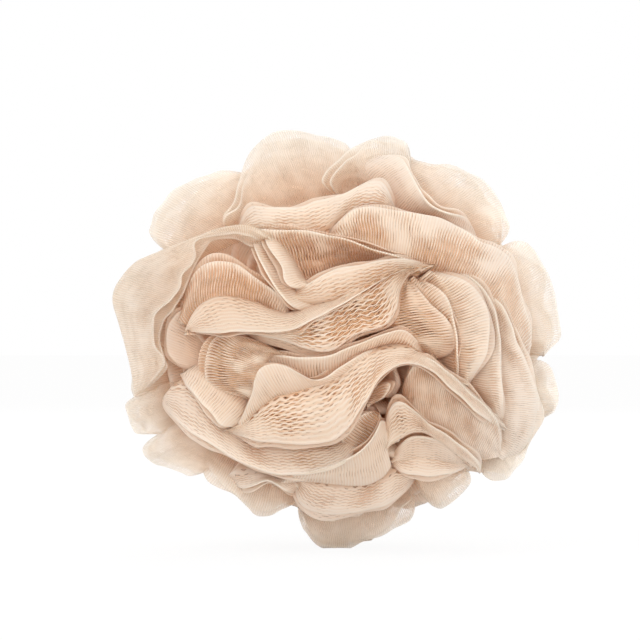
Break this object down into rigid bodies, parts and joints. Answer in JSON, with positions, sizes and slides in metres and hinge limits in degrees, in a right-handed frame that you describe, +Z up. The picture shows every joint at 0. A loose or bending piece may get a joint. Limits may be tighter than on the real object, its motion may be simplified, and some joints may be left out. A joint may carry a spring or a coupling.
{
  "type": "mesh bath pouf",
  "caption": "Round bath pouf of soft tubular net, tied at the waist and fanned out on both sides into wavy ruffles.",
  "frame": {"origin": "under the middle of the ball, on the surface it rests on", "axes": "+Z up, +X to the right of someone facing the front ruffles, +Y away from that person, along the tied waist"},
  "size_m": [0.1444, 0.132, 0.1354],
  "materials": {
    "net": "soft cream-peach knitted net",
    "cord": "off-white braided cord"
  },
  "bodies": {
    "root": {"mesh_tube_outer": "net", "mesh_tube_middle": "net", "mesh_tube_inner": "net", "waist_tie": "cord"}
  },
  "joints": []
}
